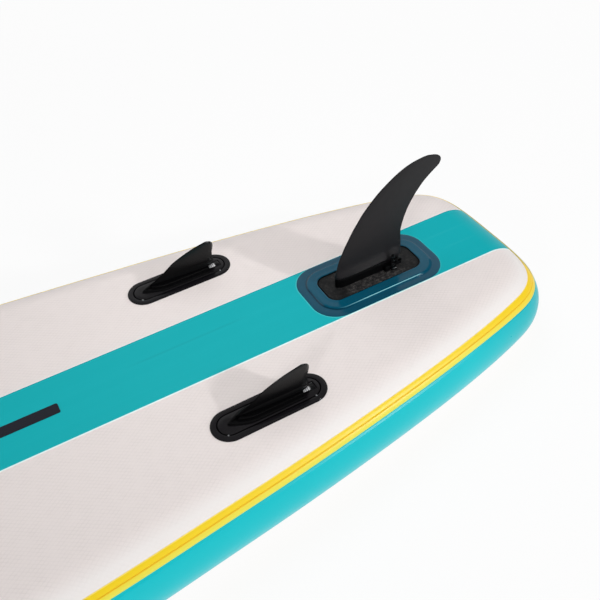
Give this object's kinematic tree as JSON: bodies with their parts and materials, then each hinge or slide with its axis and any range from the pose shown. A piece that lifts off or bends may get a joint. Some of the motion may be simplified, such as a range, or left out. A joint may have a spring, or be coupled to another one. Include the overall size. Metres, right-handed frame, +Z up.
{
  "type": "inflatable stand up paddleboard",
  "caption": "Inflatable paddleboard turned fins-up: long rounded hull with seam-taped rails, coloured centre stripe, boxed swept centre fin and slide-in side fins.",
  "frame": {"origin": "under the middle of the board, at its lowest point", "axes": "+X along the board to the tail, +Y across it, +Z up out of the fin side"},
  "size_m": [3.1999, 0.7618, 0.4603],
  "materials": {
    "skin_white": "fine embossed satin PVC",
    "stripe_teal": "satin PVC film",
    "rail_turquoise": "semi-gloss PVC",
    "tape_yellow": "semi-gloss PVC tape",
    "patch_petrol": "satin PVC",
    "black_gloss": "glossy moulded nylon",
    "box_black": "fine textured moulding",
    "fin_charcoal": "satin moulded composite",
    "strip_charcoal": "matt film",
    "wall_inner": "plain PVC",
    "thread_white": "polyester yarn",
    "foam_grey": "grooved closed-cell foam",
    "patch_black": "satin PVC",
    "webbing_black": "flat woven webbing",
    "grip_foam": "padded sleeve",
    "cord_black": "braided shock cord",
    "ring_steel": "polished stainless",
    "valve_plastic": "moulded",
    "plunger_plastic": "moulded",
    "spring_steel": "drawn wire"
  },
  "bodies": {
    "board": {"bottom_skin": "skin_white", "deck_skin": "skin_white", "inner_side_wall": "wall_inner", "outer_side_wall": "rail_turquoise", "bottom_seam_tape": "tape_yellow", "deck_seam_tape": "tape_yellow", "drop_stitch_core": "thread_white", "centre_stripe": "stripe_teal", "keel_strip": "strip_charcoal", "fin_box": "box_black", "fin_box_patch": "patch_petrol", "side_fin_base_near": "black_gloss", "side_fin_base_far": "black_gloss", "deck_pad": "foam_grey", "handle_patch_front": "patch_black", "handle_patch_rear": "patch_black", "handle_webbing": "webbing_black", "handle_grip": "grip_foam", "bungee_anchor_rear_near": "patch_black", "bungee_anchor_rear_far": "patch_black", "bungee_anchor_front_far": "patch_black", "bungee_anchor_front_near": "patch_black", "bungee_cord": "cord_black", "leash_patch": "patch_black", "leash_loop": "webbing_black", "tow_patch": "patch_petrol", "tow_loop": "webbing_black", "valve_body": "valve_plastic", "valve_nut": "valve_plastic", "valve_spring": "spring_steel"},
    "centre_fin": {"centre_fin": "fin_charcoal"},
    "lock_lever": {"fin_lock_lever": "black_gloss"},
    "side_fin_near": {"side_fin_near": "black_gloss"},
    "side_fin_far": {"side_fin_far": "black_gloss"},
    "latch_near": {"side_latch_tab_near": "black_gloss"},
    "latch_far": {"side_latch_tab_far": "black_gloss"},
    "leash_ring": {"leash_ring": "ring_steel"},
    "tow_ring": {"tow_ring": "ring_steel"},
    "valve_plunger": {"valve_plunger": "plunger_plastic"},
    "valve_cap": {"valve_cap": "valve_plastic"}
  },
  "joints": [
    {"name": "centre_fin_slide", "type": "slide", "parent": "board", "child": "centre_fin", "axis": [1, 0, 0], "range_m": [0, 0.155]},
    {"name": "lock_lever_swing", "type": "hinge", "parent": "centre_fin", "child": "lock_lever", "pos_m": [1.343, -0.011, 0.26337], "axis": [0, 1, 0], "range_deg": [-55, 0]},
    {"name": "side_fin_near_slide", "type": "slide", "parent": "board", "child": "side_fin_near", "axis": [1, 0, 0], "range_m": [0, 0.12]},
    {"name": "side_fin_far_slide", "type": "slide", "parent": "board", "child": "side_fin_far", "axis": [1, 0, 0], "range_m": [0, 0.12]},
    {"name": "latch_near_press", "type": "hinge", "parent": "board", "child": "latch_near", "pos_m": [1.078, -0.1783, 0.25337], "axis": [0, 1, 0], "range_deg": [-4, 0]},
    {"name": "latch_far_press", "type": "hinge", "parent": "board", "child": "latch_far", "pos_m": [1.078, 0.1783, 0.25337], "axis": [0, 1, 0], "range_deg": [-4, 0]},
    {"name": "leash_ring_swing", "type": "hinge", "parent": "board", "child": "leash_ring", "pos_m": [1.451, 0, 0.09302], "axis": [0, 1, 0], "range_deg": [0, 165]},
    {"name": "tow_ring_swing", "type": "hinge", "parent": "board", "child": "tow_ring", "pos_m": [-1.39936, 0, 0.18197], "axis": [0, 1, 0], "range_deg": [0, 165]},
    {"name": "valve_plunger_press", "type": "slide", "parent": "board", "child": "valve_plunger", "axis": [0, 0, 1], "range_m": [0, 0.003], "deforming": ["valve_spring"]},
    {"name": "valve_cap_turn", "type": "hinge", "parent": "board", "child": "valve_cap", "pos_m": [1.412, 0.076, 0.09437], "axis": [0, 0, 1], "range_deg": [0, 90]}
  ]
}
